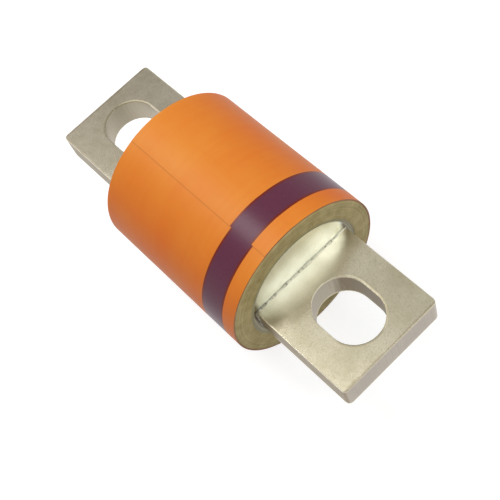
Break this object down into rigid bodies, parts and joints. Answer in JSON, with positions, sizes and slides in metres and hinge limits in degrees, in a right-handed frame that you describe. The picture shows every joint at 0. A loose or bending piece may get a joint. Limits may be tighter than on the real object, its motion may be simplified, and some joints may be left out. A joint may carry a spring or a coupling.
{
  "type": "bolt-down fuse",
  "caption": "Cartridge fuse with a round label-wrapped tube, plugged ends and a flat slotted terminal blade at each end for bolting to busbars.",
  "frame": {"origin": "the middle of the fuse, on the tube's axis", "axes": "+X along the tube towards the end with the printed band, +Y across the blades' width, +Z out of the blades' upper contact faces"},
  "size_m": [0.0912, 0.038, 0.0384],
  "materials": {
    "glass_melamine": "glass-filled melamine, olive tan, satin",
    "label_print": "orange printed wrap with one purple band",
    "plated_brass": "bright plated, finely turned",
    "tinned_copper": "tin-plated copper bar, satin with worn edges",
    "pin_steel": "bright steel",
    "element_silver": "punched silver strip",
    "quartz_sand": "packed quartz sand"
  },
  "bodies": {
    "root": {"body_tube": "glass_melamine", "wrap_label": "label_print", "end_plug_near": "plated_brass", "end_plug_far": "plated_brass", "fill_hole_plug": "pin_steel", "terminal_blade_near": "tinned_copper", "terminal_blade_far": "tinned_copper", "lock_pin_near_1": "pin_steel", "lock_pin_near_2": "pin_steel", "lock_pin_near_3": "pin_steel", "lock_pin_near_4": "pin_steel", "lock_pin_far_1": "pin_steel", "lock_pin_far_2": "pin_steel", "lock_pin_far_3": "pin_steel", "lock_pin_far_4": "pin_steel", "fuse_element_1": "element_silver", "fuse_element_2": "element_silver", "fuse_element_3": "element_silver", "fuse_element_4": "element_silver", "fuse_element_5": "element_silver", "sand_filler": "quartz_sand"}
  },
  "joints": []
}
